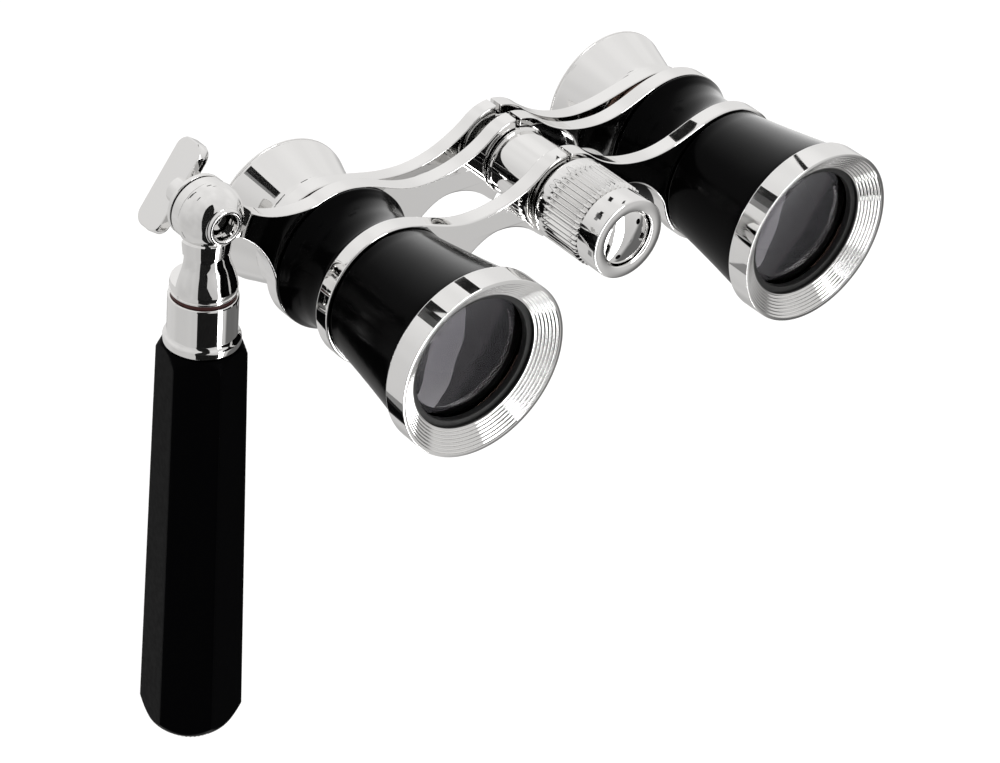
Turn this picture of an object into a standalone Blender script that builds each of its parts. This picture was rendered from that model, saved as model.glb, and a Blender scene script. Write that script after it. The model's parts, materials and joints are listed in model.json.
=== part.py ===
"""Opera glasses with a hinged handle (a lorgnette), as an assembly of separate pieces.

The frame: +Z is up, the objective lenses face -Y and the eyepieces face +Y. The origin is the
middle of the handle's grip, where a hand holds the object. Dimensions below are millimetres.
"""

from math import cos, pi, radians, sin

import bmesh
import bpy
from mathutils import Matrix, Vector
from mathutils.geometry import interpolate_bezier, tessellate_polygon

MM = 0.001

# ---------------------------------------------------------------- driving dimensions
GAP = 0.3                    # clearance between two pieces that touch or slide
BARREL_X = 37.0              # each barrel's axis, left and right of the centre hinge
HINGE_Z = 7.7                # centre hinge above the plane of the barrel axes

BEZEL_R = 16.4               # objective bezel
BEZEL_LENGTH = 4.7
OPENING_R = 12.4             # clear opening, 25 mm class
FRONT_PLATE = (25.3, 28.5)   # each plate's front and rear face along Y
REAR_PLATE = (39.3, 42.4)
EYE_PLATE = (44.9, 47.8)
FRONT_RIM_R = 13.25          # the front plate's rim round a barrel
REAR_RIM_R = 13.5
EYE_RIM_R = 11.5
EYECUP_R = 13.7
EYECUP_REAR = 57.7

KNUCKLE_R = 8.2              # the plates' rounded end at the centre hinge
LAP_R = 6.3                  # half-thickness disc by which two arms overlap
LAP_CLEARANCE_R = 6.65
HINGE_BORE_R = 3.9
ARM_TOP_ANGLE = 93.0         # where an arm's full thickness ends at the top of the hinge
ARM_LOW_ANGLE = 239.0        # and at the bottom, which leaves room for the fold

KNOB = (8.6, 24.2)           # focus knob's front and rear face
KNOB_R = 7.8
KNOB_RIBS = 45
KNOB_GROOVE = 0.5
SPANNER_HOLE_OUT = 3.46      # from the end cap's middle
SPANNER_HOLE_ANGLES = (57, 237)

PIVOT_X = -63.9              # handle pivot, in the glasses' own frame
PIVOT_Y = 40.1
PIVOT_Z = 17.4
BALL_R = 5.8
EYELET_R = 3.2               # ring round the pivot's hole, on the ball
LUG_R = 5.6
PADDLE_ANGLE = radians(54.6)   # the thumb screw's wing, above horizontal
PADDLE_Y = 10.2              # its middle behind the pivot's middle plane
LUG_FRONT = 40.4             # the wing is milled back from its front face to this plane
LUG_STEP_R = 8.2
SCREW_BORE_R = 2.15
HANDLE_LEAN = radians(1.15)  # the glasses sit almost square on the upright handle
HANDLE_OFFSET_X = -0.35      # grip axis beside the pivot
GRIP_MIDDLE_Z = -65.0        # below the pivot, on the handle's axis

GRIP_TOP_Z = -24.6
GRIP_END_Z = -105.6
GRIP_CORNER_TOP_R = 7.7      # across the hexagon's corners, as a radius
GRIP_CORNER_END_R = 9.3
GRIP_TURN = radians(-10.0)
ROD_R = 1.8

SEGMENTS = 26
SMALL_SEGMENTS = 16


# ---------------------------------------------------------------- helpers
def clear_scene():
    for obj in list(bpy.data.objects):
        bpy.data.objects.remove(obj, do_unlink=True)


def make_material(name, colour, metallic, roughness, transmission=0.0):
    material = bpy.data.materials.new(name)
    material.use_nodes = True
    shader = material.node_tree.nodes["Principled BSDF"]
    shader.inputs["Base Color"].default_value = (*colour, 1.0)
    shader.inputs["Metallic"].default_value = metallic
    shader.inputs["Roughness"].default_value = roughness
    shader.inputs["Transmission Weight"].default_value = transmission
    return material


def make_empty(name, location, parent=None, turn=0.0):
    """An empty on a joint's axis, turned about Y."""
    empty = bpy.data.objects.new(name, None)
    bpy.context.collection.objects.link(empty)
    empty.empty_display_size = 0.01
    empty.location = Vector(location) * MM
    empty.rotation_euler = (0.0, turn, 0.0)
    empty.parent = parent
    return empty


def finish(name, mesh_builder, parent, material, location=(0, 0, 0)):
    """Turn a bmesh, made in millimetres, into a named object in metres."""
    bmesh.ops.recalc_face_normals(mesh_builder, faces=mesh_builder.faces)
    bmesh.ops.scale(mesh_builder, vec=(MM, MM, MM), verts=mesh_builder.verts)
    mesh = bpy.data.meshes.new(name)
    mesh_builder.to_mesh(mesh)
    mesh_builder.free()
    mesh.shade_smooth()
    mesh.set_sharp_from_angle(angle=radians(30))
    mesh.materials.append(material)
    obj = bpy.data.objects.new(name, mesh)
    bpy.context.collection.objects.link(obj)
    obj.location = Vector(location) * MM
    obj.parent = parent
    return obj


def lathe_mesh(profile, axis="Y", segments=SEGMENTS, centre=(0, 0)):
    """Turn a profile of (radius, place along the axis) points.

    A profile that begins and ends at radius 0 is a solid; any other one closes on itself.
    """
    bm = bmesh.new()
    rings = []
    for radius, along in profile:
        ring = []
        for k in range(segments if radius > 0 else 1):
            angle = 2 * pi * k / segments
            a, b = radius * cos(angle), radius * sin(angle)
            point = (centre[0] + a, along, centre[1] + b)
            if axis == "Z":
                point = (centre[0] + a, centre[1] + b, along)
            ring.append(bm.verts.new(point))
        rings.append(ring)
    pairs = list(zip(rings, rings[1:]))
    if profile[0][0] > 0:
        pairs.append((rings[-1], rings[0]))
    for first, second in pairs:
        for k in range(segments):
            following = (k + 1) % segments
            corners = [first[k % len(first)], first[following % len(first)]]
            corners += [second[following % len(second)], second[k % len(second)]]
            unique = list(dict.fromkeys(corners))
            if len(unique) > 2:
                bm.faces.new(unique)
    return bm


def lathe(name, profile, parent, material, axis="Y", segments=SEGMENTS, location=(0, 0, 0)):
    return finish(name, lathe_mesh(profile, axis, segments), parent, material, location)


def tube_profile(inner, outer, start, end):
    return [(outer, start), (outer, end), (inner, end), (inner, start)]


def rod_profile(radius, start, end, chamfer=0.3):
    return [
        (0, start), (radius - chamfer, start), (radius, start + chamfer),
        (radius, end - chamfer), (radius - chamfer, end), (0, end),
    ]


def prism_mesh(outline, holes, start, end):
    """Extrude an outline of (x, z) points with holes along Y."""
    loops = [outline] + holes
    flat = [point for loop in loops for point in loop]
    triangles = tessellate_polygon([[Vector((x, z, 0)) for x, z in loop] for loop in loops])
    bm = bmesh.new()
    front = [bm.verts.new((x, start, z)) for x, z in flat]
    rear = [bm.verts.new((x, end, z)) for x, z in flat]
    for a, b, c in triangles:
        bm.faces.new((front[a], front[b], front[c]))
        bm.faces.new((rear[c], rear[b], rear[a]))
    first = 0
    for loop in loops:
        count = len(loop)
        for k in range(count):
            a, b = first + k, first + (k + 1) % count
            bm.faces.new((front[a], front[b], rear[b], rear[a]))
        first += count
    return bm


def arc(centre, radius, start_deg, end_deg, steps):
    """Points on an arc in the XZ plane, anticlockwise when the end angle is larger."""
    points = []
    for k in range(steps + 1):
        angle = radians(start_deg + (end_deg - start_deg) * k / steps)
        points.append((centre[0] + radius * cos(angle), centre[1] + radius * sin(angle)))
    return points


def smooth_curve(start, start_handle, end_handle, end, steps):
    """Inner points of one Bezier piece in the XZ plane."""
    knots = [Vector((x, z, 0)) for x, z in (start, start_handle, end_handle, end)]
    return [(p.x, p.y) for p in interpolate_bezier(*knots, steps + 1)[1:-1]]


def disc_profile(radius, start, end):
    return [(0, start), (radius, start), (radius, end), (0, end)]


def tool_body(name, mesh_builder, parent, location=(0, 0, 0)):
    """A body that only shapes another one: hidden, and shown as wire."""
    obj = finish(name, mesh_builder, parent, MATERIALS["steel"], location)
    obj.hide_render = True
    obj.display_type = "WIRE"
    return obj


def combine(obj, other, operation):
    modifier = obj.modifiers.new(operation.title(), "BOOLEAN")
    modifier.operation = operation
    modifier.solver = "EXACT"
    modifier.object = other


def cut_away(obj, what, profile, parent, segments=SEGMENTS, axis="Y", location=(0, 0, 0)):
    """Cut a turned shape out of a piece."""
    mesh = lathe_mesh(profile, axis, segments)
    combine(obj, tool_body(f"{obj.name}_{what}_cut", mesh, parent, location), "DIFFERENCE")


def add_turned(obj, what, profile, parent, segments=SEGMENTS):
    """Join a turned shape to a piece."""
    mesh = lathe_mesh(profile, segments=segments)
    combine(obj, tool_body(f"{obj.name}_{what}", mesh, parent), "UNION")


def box_mesh(low, high):
    bm = bmesh.new()
    bmesh.ops.create_cube(bm, size=1.0)
    size = [b - a for a, b in zip(low, high)]
    middle = [(a + b) / 2 for a, b in zip(low, high)]
    bmesh.ops.scale(bm, vec=size, verts=bm.verts)
    bmesh.ops.translate(bm, vec=middle, verts=bm.verts)
    return bm


clear_scene()
MATERIALS = {
    "chrome": make_material("polished_chrome", (0.86, 0.85, 0.84), 1.0, 0.08),
    "lacquer": make_material("black_lacquer", (0.008, 0.008, 0.009), 0.0, 0.12),
    "grip": make_material("satin_black", (0.012, 0.012, 0.013), 0.0, 0.38),
    "anodised": make_material("matt_black", (0.01, 0.01, 0.01), 0.3, 0.55),
    "glass": make_material("lens_glass", (0.9, 0.9, 0.95), 0.0, 0.02, 1.0),
    "steel": make_material("steel", (0.6, 0.6, 0.6), 1.0, 0.25),
    "brass": make_material("brass", (0.22, 0.14, 0.1), 1.0, 0.25),
    "fibre": make_material("fibre", (0.1, 0.025, 0.022), 0.0, 0.5),
}

# ---------------------------------------------------------------- frames on the joints' axes
pivot = Vector((-HANDLE_OFFSET_X, 0, -GRIP_MIDDLE_Z))
pivot = Vector((
    pivot.x * cos(HANDLE_LEAN) + pivot.z * sin(HANDLE_LEAN),
    0,
    pivot.z * cos(HANDLE_LEAN) - pivot.x * sin(HANDLE_LEAN),
))
handle_frame = make_empty("handle_pivot_axis", pivot, turn=HANDLE_LEAN)
screw_frame = make_empty("clamp_screw_axis", pivot)
glasses_pivot = make_empty("glasses_pivot_axis", pivot)
glasses_frame = make_empty("glasses_frame", (-PIVOT_X, -PIVOT_Y, -PIVOT_Z), glasses_pivot)
hinge_frame = make_empty("centre_hinge_axis", (0, 0, HINGE_Z), glasses_frame)
barrel_frames = {
    "left": make_empty("left_barrel_axis", (-BARREL_X, 0, -HINGE_Z), hinge_frame),
    "right": make_empty("right_barrel_axis", (BARREL_X, 0, -HINGE_Z), hinge_frame),
}


# ---------------------------------------------------------------- plates
# Their outlines are (x, z) points from a point between the barrel axes.
def rim_point(radius, angle_deg):
    angle = radians(angle_deg)
    return (-BARREL_X + radius * cos(angle), radius * sin(angle))


def knuckle_point(angle_deg, radius=KNUCKLE_R):
    angle = radians(angle_deg)
    return (radius * cos(angle), HINGE_Z + radius * sin(angle))


def arm_outline(rim_r, waist_top, arch_top, wing=None):
    """Outline of a left arm: knuckle, waisted top edge, rim, arched lower edge, lap disc."""
    hinge = (0, HINGE_Z)
    rim = (-BARREL_X, 0)
    points = arc(hinge, KNUCKLE_R, ARM_TOP_ANGLE, 130, 5)
    leave, waist = points[-1], (-19.5, waist_top)
    points += smooth_curve(leave, (leave[0] - 4.0, leave[1] - 3.4), (-14.5, waist_top), waist, 6)
    points.append(waist)
    meet = rim_point(rim_r, 78)
    points += smooth_curve(waist, (-25.5, waist_top), (-29.0, rim_r - 1.2), meet, 6)
    if wing:
        points += [meet] + wing
    else:
        points += arc(rim, rim_r, 78, 180, 11)
    points += arc(rim, rim_r, 188, 346, 18)
    low = points[-1]
    arch = (-14.2, arch_top)
    points += smooth_curve(low, (low[0] + 0.6, low[1] + 3.0), (-18.6, arch_top), arch, 6)
    points.append(arch)
    foot = knuckle_point(228)
    points += smooth_curve(arch, (-10.6, arch_top), (foot[0] - 2.2, foot[1] + 2.0), foot, 5)
    points += arc(hinge, KNUCKLE_R, 228, ARM_LOW_ANGLE, 2)
    points += arc(hinge, LAP_R, ARM_LOW_ANGLE, ARM_TOP_ANGLE + 360, 16)
    return points


def wing_outline(rim_r):
    """The rear plate's wing from the rim's top, round the lug and back to the rim."""
    lug = (PIVOT_X, PIVOT_Z)
    top = rim_point(rim_r, 112)
    points = arc((-BARREL_X, 0), rim_r, 84, 112, 3)
    shoulder = (-57.0, 16.4)
    points += smooth_curve(top, (-44.6, 11.9), (-52.4, 11.8), shoulder, 6)
    points.append(shoulder)
    points += arc(lug, LUG_R, 38, 285, 14)
    hip = (-58.2, 11.2)
    points.append(hip)
    points += smooth_curve(hip, (-54.6, 9.0), (-51.8, 5.2), rim_point(rim_r, 180), 5)
    points.append(rim_point(rim_r, 180))
    return points


def mirror_x(points):
    return [(-x, z) for x, z in reversed(points)]


def make_plate(side, part, faces, rim_r, bore_r, hinge_bore_r, waist_top, wing=None):
    """One arm of a plate: the left arm laps in front, the right arm behind."""
    outline = arm_outline(rim_r, waist_top, 5.2, wing)
    bore = arc((-BARREL_X, 0), bore_r, 360 - 360 / SEGMENTS, 0, SEGMENTS - 1)
    if side == "right":
        outline, bore = mirror_x(outline), mirror_x(bore)
    hinge_bore = arc((0, HINGE_Z), hinge_bore_r, 345, 0, SMALL_SEGMENTS - 1)
    mesh = prism_mesh(outline, [bore, hinge_bore], *faces)
    bmesh.ops.translate(mesh, vec=(0, 0, -HINGE_Z), verts=mesh.verts)
    plate = finish(f"{side}_{part}", mesh, hinge_frame, MATERIALS["chrome"])
    middle = (faces[0] + faces[1]) / 2
    start, end = middle - GAP / 2, faces[1] + 1
    if side == "right":
        start, end = faces[0] - 1, middle + GAP / 2
    cut_away(plate, "lap", disc_profile(LAP_CLEARANCE_R, start, end), hinge_frame)
    return plate


def make_plates(side):
    make_plate(side, "front_plate", FRONT_PLATE, FRONT_RIM_R, 12.0, HINGE_BORE_R, 9.1)
    wing = wing_outline(REAR_RIM_R) if side == "left" else None
    rear = make_plate(side, "rear_plate", REAR_PLATE, REAR_RIM_R, 10.95, HINGE_BORE_R, 9.1, wing)
    if side == "left":
        front = REAR_PLATE[0] - 1 - PIVOT_Y
        step = disc_profile(LUG_STEP_R, front, LUG_FRONT - PIVOT_Y)
        cut_away(rear, "step", step, glasses_pivot)
        hole = disc_profile(SCREW_BORE_R, front, REAR_PLATE[1] + 1 - PIVOT_Y)
        cut_away(rear, "screw_hole", hole, glasses_pivot, SMALL_SEGMENTS)
    make_plate(side, "eyepiece_arm", EYE_PLATE, EYE_RIM_R, 9.3, 3.4, 8.5)


# ---------------------------------------------------------------- barrels and optics
def make_barrel(side):
    frame = barrel_frames[side]
    chrome, lacquer = MATERIALS["chrome"], MATERIALS["lacquer"]
    matt, glass = MATERIALS["anodised"], MATERIALS["glass"]
    bezel = [
        (BEZEL_R, 0.2), (BEZEL_R, BEZEL_LENGTH), (14.9, BEZEL_LENGTH), (14.9, 2.9),
        (OPENING_R, 2.9), (OPENING_R, 2.5), (BEZEL_R - 0.6, 0.0), (BEZEL_R - 0.2, 0.0),
    ]
    lathe(f"{side}_objective_bezel", bezel, frame, chrome)
    ring = tube_profile(11.3, 13.0, 3.2, 4.4)
    lathe(f"{side}_lens_ring", ring, frame, matt)
    lens = [(0, 3.0), (4.5, 3.3), (8.5, 4.0), (13.0, 5.3), (13.0, 7.2), (11.0, 7.4), (0, 7.9)]
    lathe(f"{side}_objective_lens", lens, frame, glass)
    cone = [
        (14.6, 3.2), (14.6, 5.0), (15.6, 5.0), (15.4, 6.6), (12.7, 24.0), (12.7, 25.0),
        (11.6, 25.0), (12.2, 8.4), (13.3, 7.9), (13.3, 3.2),
    ]
    lathe(f"{side}_objective_barrel", cone, frame, lacquer)
    spool = [
        (12.5, 28.8), (12.0, 29.8), (11.9, 31.0), (11.9, 35.0), (12.6, 37.8), (13.4, 38.5),
        (13.4, 39.0), (10.9, 39.0), (10.9, 25.3), (11.7, 25.3), (11.7, 28.8),
    ]
    lathe(f"{side}_rear_barrel", spool, frame, lacquer)
    sleeve = tube_profile(9.3, 10.6, 26.0, REAR_PLATE[1])
    lathe(f"{side}_guide_sleeve", sleeve, frame, MATERIALS["brass"])


def make_eyepiece(side):
    frame = barrel_frames[side]
    chrome, matt, glass = MATERIALS["chrome"], MATERIALS["anodised"], MATERIALS["glass"]
    cup = [
        (10.9, EYE_PLATE[1] + GAP), (11.0, 49.0), (11.6, 50.4), (EYECUP_R, EYECUP_REAR - 0.5),
        (EYECUP_R - 0.4, EYECUP_REAR), (EYECUP_R - 1.0, EYECUP_REAR - 0.2), (10.6, 51.0),
        (7.0, 50.2), (7.0, 49.6), (9.3, 49.6), (9.3, EYE_PLATE[1] + GAP),
    ]
    lathe(f"{side}_eyecup", cup, frame, chrome)
    tube = tube_profile(8.3, 9.0, 32.0, 49.3)
    lathe(f"{side}_eyepiece_tube", tube, frame, chrome)
    lens = [(0, 46.9), (4.0, 46.6), (8.0, 45.9), (8.0, 48.4), (4.0, 47.9), (0, 47.7)]
    lathe(f"{side}_eye_lens", lens, frame, glass, segments=SMALL_SEGMENTS)
    ring = tube_profile(7.0, 8.0, 44.3, 45.6)
    lathe(f"{side}_eye_lens_ring", ring, frame, matt, segments=SMALL_SEGMENTS)


# ---------------------------------------------------------------- centre hinge and focusing
def make_centre():
    chrome, steel = MATERIALS["chrome"], MATERIALS["steel"]
    front, rear = FRONT_PLATE[0], REAR_PLATE[1]
    tube = [
        (3.6, front - 0.9), (3.6, FRONT_PLATE[1] + GAP), (6.2, FRONT_PLATE[1] + GAP),
        (6.2, 38.0), (3.6, 38.0), (3.6, rear + 0.7), (2.9, rear + 0.7), (2.9, front - 0.9),
    ]
    lathe("hinge_tube", tube, hinge_frame, chrome, segments=SMALL_SEGMENTS)
    collar = [(5.8, 38.3), (6.5, 38.6), (6.5, 39.0), (3.9, 39.0), (3.9, 38.3)]
    lathe("hinge_collar", collar, hinge_frame, chrome, segments=SMALL_SEGMENTS)
    nut = tube_profile(3.9, 5.6, rear + GAP, rear + 1.0)
    lathe("hinge_rear_nut", nut, hinge_frame, steel, segments=SMALL_SEGMENTS)
    washer = tube_profile(3.9, 6.9, KNOB[1] + GAP, front - GAP)
    lathe("knob_washer", washer, hinge_frame, steel, segments=SMALL_SEGMENTS)


def knob_outline():
    """The knurled sleeve's cross-section: straight ribs with grooves between them."""
    points = []
    for k in range(2 * KNOB_RIBS):
        radius = KNOB_R - (k % 2) * KNOB_GROOVE
        angle = pi * k / KNOB_RIBS
        points.append((radius * cos(angle), radius * sin(angle)))
    return points


def make_focus():
    chrome, steel = MATERIALS["chrome"], MATERIALS["steel"]
    front, rear = KNOB
    knurl = prism_mesh(knob_outline(), [], front + 4.8, rear - 1.2)
    knob = finish("focus_knob", knurl, hinge_frame, chrome)
    ring = [
        (0, front), (7.2, front), (7.45, front + 0.25), (7.45, front + 5.2), (0, front + 5.2),
    ]
    band = [(0, rear - 1.6), (KNOB_R - 0.02, rear - 1.6), (KNOB_R - 0.02, rear), (0, rear)]
    add_turned(knob, "ring", ring, hinge_frame)
    add_turned(knob, "band", band, hinge_frame)
    hollow = [
        (0, front - 1), (5.25, front - 1), (5.25, front + 2.6), (2.2, front + 2.6),
        (2.2, front + 5.0), (6.3, front + 5.0), (6.3, rear + 1), (0, rear + 1),
    ]
    cut_away(knob, "hollow", hollow, hinge_frame, SMALL_SEGMENTS)
    cap = [
        (0, front - 0.4), (2.2, front - 0.2), (3.7, front + 0.15), (4.95, front + 0.6),
        (4.95, front + 2.3), (0, front + 2.3),
    ]
    dome = lathe("knob_end_cap", cap, hinge_frame, chrome, segments=SMALL_SEGMENTS)
    for k, angle in enumerate(SPANNER_HOLE_ANGLES):
        place = (SPANNER_HOLE_OUT * cos(radians(angle)), 0, SPANNER_HOLE_OUT * sin(radians(angle)))
        hole = disc_profile(0.5, front - 1.0, front + 1.5)
        cut_away(dome, f"spanner_hole_{k}", hole, hinge_frame, segments=8, location=place)
    screw = [
        (0, front + 2.9), (1.8, front + 2.9), (1.8, 17.0), (1.5, 17.2), (1.5, 42.7),
        (1.2, 43.0), (0, 43.0),
    ]
    lathe("lead_screw", screw, hinge_frame, steel, segments=SMALL_SEGMENTS)


def make_drive():
    """The drive rod carries the eyepiece arms; it slides in the hinge tube."""
    rod = [
        (0, 44.7), (1.9, 44.7), (1.9, 27.0), (2.6, 27.0), (2.6, 44.4), (3.1, 44.6),
        (3.1, 50.4), (0, 50.4),
    ]
    lathe("drive_rod", rod, hinge_frame, MATERIALS["steel"], segments=SMALL_SEGMENTS)
    start = EYE_PLATE[1] + GAP
    nut = [(3.4, start), (5.4, start), (5.4, start + 1.6), (4.4, start + 2.2), (3.4, start + 2.2)]
    lathe("bridge_nut", nut, hinge_frame, MATERIALS["chrome"], segments=SMALL_SEGMENTS)


# ---------------------------------------------------------------- handle
def make_head():
    """Half ball, waisted neck and bell in one piece, milled flat behind for the lug."""
    bell = [
        (0, 0), (3.0, -1.5), (4.4, -4.4), (4.15, -6.0), (4.15, -7.4), (4.7, -9.2), (5.2, -10.8),
        (5.6, -12.4), (5.75, -13.5), (5.6, -14.1), (0, -14.1),
    ]
    mesh = lathe_mesh(bell, "Z", centre=(HANDLE_OFFSET_X, 0))
    head = finish("handle_head", mesh, handle_frame, MATERIALS["chrome"])
    ball = bmesh.new()
    bmesh.ops.create_uvsphere(ball, u_segments=28, v_segments=14, radius=BALL_R)
    combine(head, tool_body("handle_head_ball", ball, handle_frame), "UNION")
    add_turned(head, "eyelet", disc_profile(EYELET_R, -5.35, -1.0), handle_frame, SMALL_SEGMENTS)
    flat = box_mesh((-10, 0.03, -12.2), (10, 10, 10))
    combine(head, tool_body("handle_head_flat_cut", flat, handle_frame), "DIFFERENCE")
    cut_away(head, "bore", disc_profile(SCREW_BORE_R, -7, 3), handle_frame, SMALL_SEGMENTS)
    socket = disc_profile(ROD_R + GAP, -16, -12.6)
    place = (HANDLE_OFFSET_X, 0, 0)
    cut_away(head, "rod_socket", socket, handle_frame, SMALL_SEGMENTS, "Z", place)


def hexagon_mesh(top_z, end_z, top_r, end_r):
    bm = bmesh.new()
    rings = []
    for z, radius in ((top_z, top_r), (end_z, end_r)):
        ring = []
        for k in range(6):
            angle = GRIP_TURN - pi / 2 + k * pi / 3
            ring.append(bm.verts.new((radius * cos(angle), radius * sin(angle), z)))
        rings.append(ring)
    for k in range(6):
        bm.faces.new((rings[0][k], rings[0][(k + 1) % 6], rings[1][(k + 1) % 6], rings[1][k]))
    for ring in rings:
        bm.faces.new(ring)
    return bm


def make_grip():
    location = (HANDLE_OFFSET_X, 0, 0)
    mesh = hexagon_mesh(GRIP_TOP_Z, GRIP_END_Z, GRIP_CORNER_TOP_R, GRIP_CORNER_END_R)
    grip = finish("grip", mesh, handle_frame, MATERIALS["grip"], location)
    turned = [
        (0, GRIP_TOP_Z + 1), (6.0, GRIP_TOP_Z + 1), (8.0, GRIP_TOP_Z - 2.2),
        (10.2, GRIP_TOP_Z - 10), (10.2, GRIP_END_Z + 5.2), (9.3, GRIP_END_Z + 3.0),
        (6.9, GRIP_END_Z - 0.6), (0, GRIP_END_Z - 0.6),
    ]
    shape = tool_body("grip_turned_ends", lathe_mesh(turned, "Z"), handle_frame, location)
    combine(grip, shape, "INTERSECT")
    bore = disc_profile(ROD_R + GAP, GRIP_END_Z - 2, GRIP_TOP_Z + 2)
    cut_away(grip, "bore", bore, handle_frame, SMALL_SEGMENTS, "Z", location)


def make_handle():
    chrome = MATERIALS["chrome"]
    location = (HANDLE_OFFSET_X, 0, 0)
    make_head()
    washer = tube_profile(ROD_R + GAP, 5.65, -14.8, -14.4)
    lathe("neck_washer", washer, handle_frame, MATERIALS["fibre"], "Z", location=location)
    ferrule = [
        (2.3, -15.1), (5.7, -15.1), (5.95, -15.4), (5.95, -22.3), (6.2, -22.8), (6.6, -23.2),
        (6.6, -24.3), (2.3, -24.3),
    ]
    lathe("grip_ferrule", ferrule, handle_frame, chrome, "Z", location=location)
    make_grip()
    rod = rod_profile(ROD_R, -106.6, -12.9)
    lathe("grip_rod", rod, handle_frame, MATERIALS["steel"], "Z", SMALL_SEGMENTS, location)
    end = GRIP_END_Z
    cap = [
        (0, end - 1.3), (2.3, end - 1.3), (2.3, end - GAP), (6.0, end - GAP), (6.0, end - 1.3),
        (5.6, end - 1.7), (0, end - 1.7),
    ]
    lathe("grip_end_cap", cap, handle_frame, chrome, "Z", location=location)


def make_clamp():
    """Thumb screw: paddle, flared neck and threaded shank, with a washer under it."""
    washer_start = REAR_PLATE[1] + GAP - PIVOT_Y
    washer = tube_profile(SCREW_BORE_R, LUG_R, washer_start, washer_start + 0.9)
    lathe("clamp_washer", washer, screw_frame, MATERIALS["chrome"], segments=SMALL_SEGMENTS)
    half_long, half_wide, corner = 8.3, 3.15, 2.2
    outline = []
    for sx, sz, start in ((1, 1, 0), (-1, 1, 90), (-1, -1, 180), (1, -1, 270)):
        centre = (sx * (half_long - corner), sz * (half_wide - corner))
        outline += arc(centre, corner, start, start + 90, 4)
    paddle = prism_mesh(outline, [], -1.1, 1.1)
    turn = Matrix.Rotation(-PADDLE_ANGLE, 3, "Y") @ Matrix.Rotation(pi / 2, 3, "X")
    bmesh.ops.rotate(paddle, cent=(0, 0, 0), matrix=turn, verts=paddle.verts)
    bmesh.ops.translate(paddle, vec=(0, PADDLE_Y, 0), verts=paddle.verts)
    screw = finish("clamp_screw", paddle, screw_frame, MATERIALS["chrome"])
    seat = washer_start + 0.9 + GAP
    shank = [
        (0, -3.0), (1.5, -3.0), (1.8, -2.7), (1.8, seat), (4.3, seat), (4.3, seat + 0.5),
        (3.1, seat + 1.4), (2.6, seat + 2.7), (2.4, seat + 4.8), (0, seat + 4.8),
    ]
    add_turned(screw, "shank", shank, screw_frame, SMALL_SEGMENTS)


make_plates("left")
make_plates("right")
for side_name in barrel_frames:
    make_barrel(side_name)
    make_eyepiece(side_name)
make_centre()
make_focus()
make_drive()
make_handle()
make_clamp()
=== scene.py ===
"""The finished look of the opera glasses: turned, bevelled and knurled pieces round the model.

Shapes are in millimetres in two local frames. The glasses' frame has its origin between the two
barrels' axes, level with the bezels' front faces, with Y along the barrels. The handle's frame has
its origin on the handle's pivot, with Z up along the handle, which leans a little.
"""

import json
from math import cos, pi, radians, sin

import bmesh
import bpy
from mathutils import Matrix, Vector
from mathutils.geometry import interpolate_bezier

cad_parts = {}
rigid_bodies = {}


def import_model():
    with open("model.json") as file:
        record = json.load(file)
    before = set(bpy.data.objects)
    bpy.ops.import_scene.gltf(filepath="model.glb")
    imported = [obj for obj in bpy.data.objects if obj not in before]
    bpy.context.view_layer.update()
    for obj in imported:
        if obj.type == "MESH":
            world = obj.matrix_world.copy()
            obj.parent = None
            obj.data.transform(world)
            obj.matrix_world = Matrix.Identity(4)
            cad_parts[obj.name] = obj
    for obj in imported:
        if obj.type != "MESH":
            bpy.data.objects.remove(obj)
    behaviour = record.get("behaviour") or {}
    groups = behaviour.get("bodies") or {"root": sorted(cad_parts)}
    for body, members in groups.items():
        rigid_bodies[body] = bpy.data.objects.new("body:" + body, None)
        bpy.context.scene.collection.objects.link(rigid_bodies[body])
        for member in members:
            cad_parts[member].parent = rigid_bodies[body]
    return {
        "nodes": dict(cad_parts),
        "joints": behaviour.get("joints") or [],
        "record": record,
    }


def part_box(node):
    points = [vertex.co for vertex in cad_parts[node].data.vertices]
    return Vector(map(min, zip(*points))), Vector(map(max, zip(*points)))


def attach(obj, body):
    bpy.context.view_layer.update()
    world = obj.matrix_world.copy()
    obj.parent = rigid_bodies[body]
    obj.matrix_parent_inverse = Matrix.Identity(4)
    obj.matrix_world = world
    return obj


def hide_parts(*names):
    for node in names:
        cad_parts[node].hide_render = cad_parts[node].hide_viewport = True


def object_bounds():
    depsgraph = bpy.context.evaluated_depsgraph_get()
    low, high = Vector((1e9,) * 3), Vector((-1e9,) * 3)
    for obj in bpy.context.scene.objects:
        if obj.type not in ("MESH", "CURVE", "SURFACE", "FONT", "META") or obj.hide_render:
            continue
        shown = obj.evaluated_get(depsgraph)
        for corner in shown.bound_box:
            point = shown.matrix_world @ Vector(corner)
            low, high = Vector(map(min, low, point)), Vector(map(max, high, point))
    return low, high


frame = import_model()
cad_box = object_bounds()

MM = 0.001
TURNS = 144                  # facets round a turned piece
SHARP = radians(42)

# ---------------------------------------------------------------- places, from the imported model
joints = {joint["name"]: joint for joint in frame["joints"]}
pivot = Vector(joints["handle_pivot"]["pos_m"])
hinge = Vector(joints["centre_fold"]["pos_m"])
left_low, left_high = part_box("left_objective_bezel")
right_low, right_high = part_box("right_objective_bezel")
left_axis = (left_low + left_high) / 2
right_axis = (right_low + right_high) / 2
glasses_origin = Vector(((left_axis.x + right_axis.x) / 2, left_low.y, left_axis.z))
BARREL_X = (right_axis.x - left_axis.x) / 2 / MM
HINGE_Z = (hinge.z - left_axis.z) / MM
PIVOT = (pivot - glasses_origin) / MM

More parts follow.
